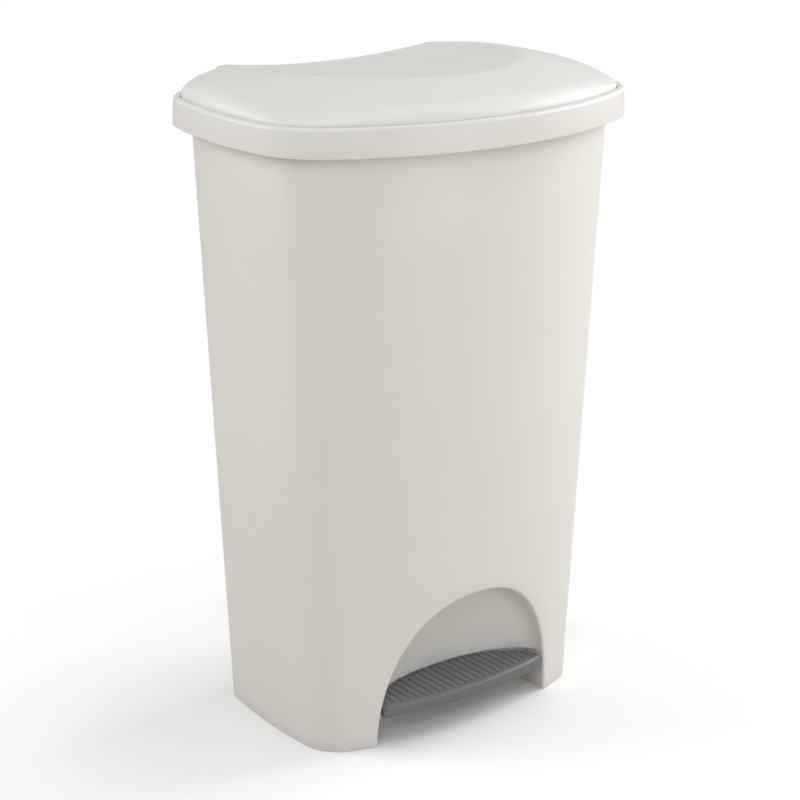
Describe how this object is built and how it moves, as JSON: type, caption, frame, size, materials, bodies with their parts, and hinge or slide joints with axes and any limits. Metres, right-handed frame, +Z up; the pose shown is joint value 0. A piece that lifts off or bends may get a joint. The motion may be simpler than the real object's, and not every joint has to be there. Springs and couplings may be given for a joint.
{
  "type": "pedal bin",
  "caption": "Tapered free-standing pedal bin with a domed, dished lid hinged in a lift-off collar, a toe niche and a ribbed pedal that opens the lid by a push rod.",
  "frame": {"origin": "on the floor, under the middle of the bounding box", "axes": "+Z up, -Y towards the front with the pedal, +X to the right seen from the front"},
  "size_m": [0.45, 0.315, 0.6877],
  "materials": {
    "white_polypropylene": "satin moulded polypropylene, warm white",
    "grey_pedal_plastic": "satin grey moulded plastic with fine ribs on top",
    "grey_acetal": "plain moulded acetal",
    "zinc_plated_steel": "bright zinc plate",
    "black_rubber": "soft matt rubber"
  },
  "bodies": {
    "bin": {"body_shell": "white_polypropylene", "channel_cover": "white_polypropylene", "rod_guide_lower": "grey_acetal", "rod_guide_upper": "grey_acetal", "cover_screw_lower_left": "zinc_plated_steel", "cover_screw_lower_right": "zinc_plated_steel", "cover_screw_upper_left": "zinc_plated_steel", "cover_screw_upper_right": "zinc_plated_steel", "pivot_bracket_left": "grey_acetal", "pivot_bracket_right": "grey_acetal", "bracket_screw_front_left": "zinc_plated_steel", "bracket_screw_front_right": "zinc_plated_steel", "bracket_screw_back_left": "zinc_plated_steel", "bracket_screw_back_right": "zinc_plated_steel"},
    "rod": {"push_rod": "zinc_plated_steel", "rod_head": "grey_acetal", "rod_foot": "grey_acetal"},
    "lever": {"pedal_tread": "grey_pedal_plastic", "tread_carrier": "zinc_plated_steel", "lever_arm_left": "zinc_plated_steel", "lever_arm_right": "zinc_plated_steel", "lever_nose": "grey_acetal", "lever_axle": "zinc_plated_steel", "axle_clip_left": "zinc_plated_steel", "axle_clip_right": "zinc_plated_steel", "tread_screw_front_left": "zinc_plated_steel", "tread_screw_front_right": "zinc_plated_steel", "tread_screw_back_left": "zinc_plated_steel", "tread_screw_back_right": "zinc_plated_steel"},
    "collar": {"collar": "white_polypropylene", "rod_housing": "white_polypropylene", "hinge_bracket_left": "grey_acetal", "hinge_bracket_right": "grey_acetal", "hinge_pin_left": "zinc_plated_steel", "hinge_pin_right": "zinc_plated_steel", "buffer_side_left": "black_rubber", "buffer_side_right": "black_rubber", "buffer_front_left": "black_rubber", "buffer_front_right": "black_rubber"},
    "lid": {"lid_shell": "white_polypropylene", "heel": "grey_acetal", "heel_screw_left": "zinc_plated_steel", "heel_screw_right": "zinc_plated_steel"}
  },
  "joints": [
    {"name": "collar_lift", "type": "slide", "parent": "bin", "child": "collar", "axis": [0, 0, 1], "range_m": [0, 0.15]},
    {"name": "lid_hinge", "type": "hinge", "parent": "collar", "child": "lid", "pos_m": [0, 0.138, 0.661], "axis": [-1, 0, 0], "range_deg": [0, 75]},
    {"name": "rod_slide", "type": "slide", "parent": "bin", "child": "rod", "axis": [0, 0, 1], "range_m": [0, 0.0302]},
    {"name": "pedal_pivot", "type": "hinge", "parent": "bin", "child": "lever", "pos_m": [0, -0.008, 0.038], "axis": [1, 0, 0], "range_deg": [0, 14]}
  ],
  "couplings": [
    {"joint": "rod_slide", "follows": "lid_hinge", "m_per_rad": 0.023054},
    {"joint": "pedal_pivot", "follows": "lid_hinge", "ratio": 0.18585}
  ]
}
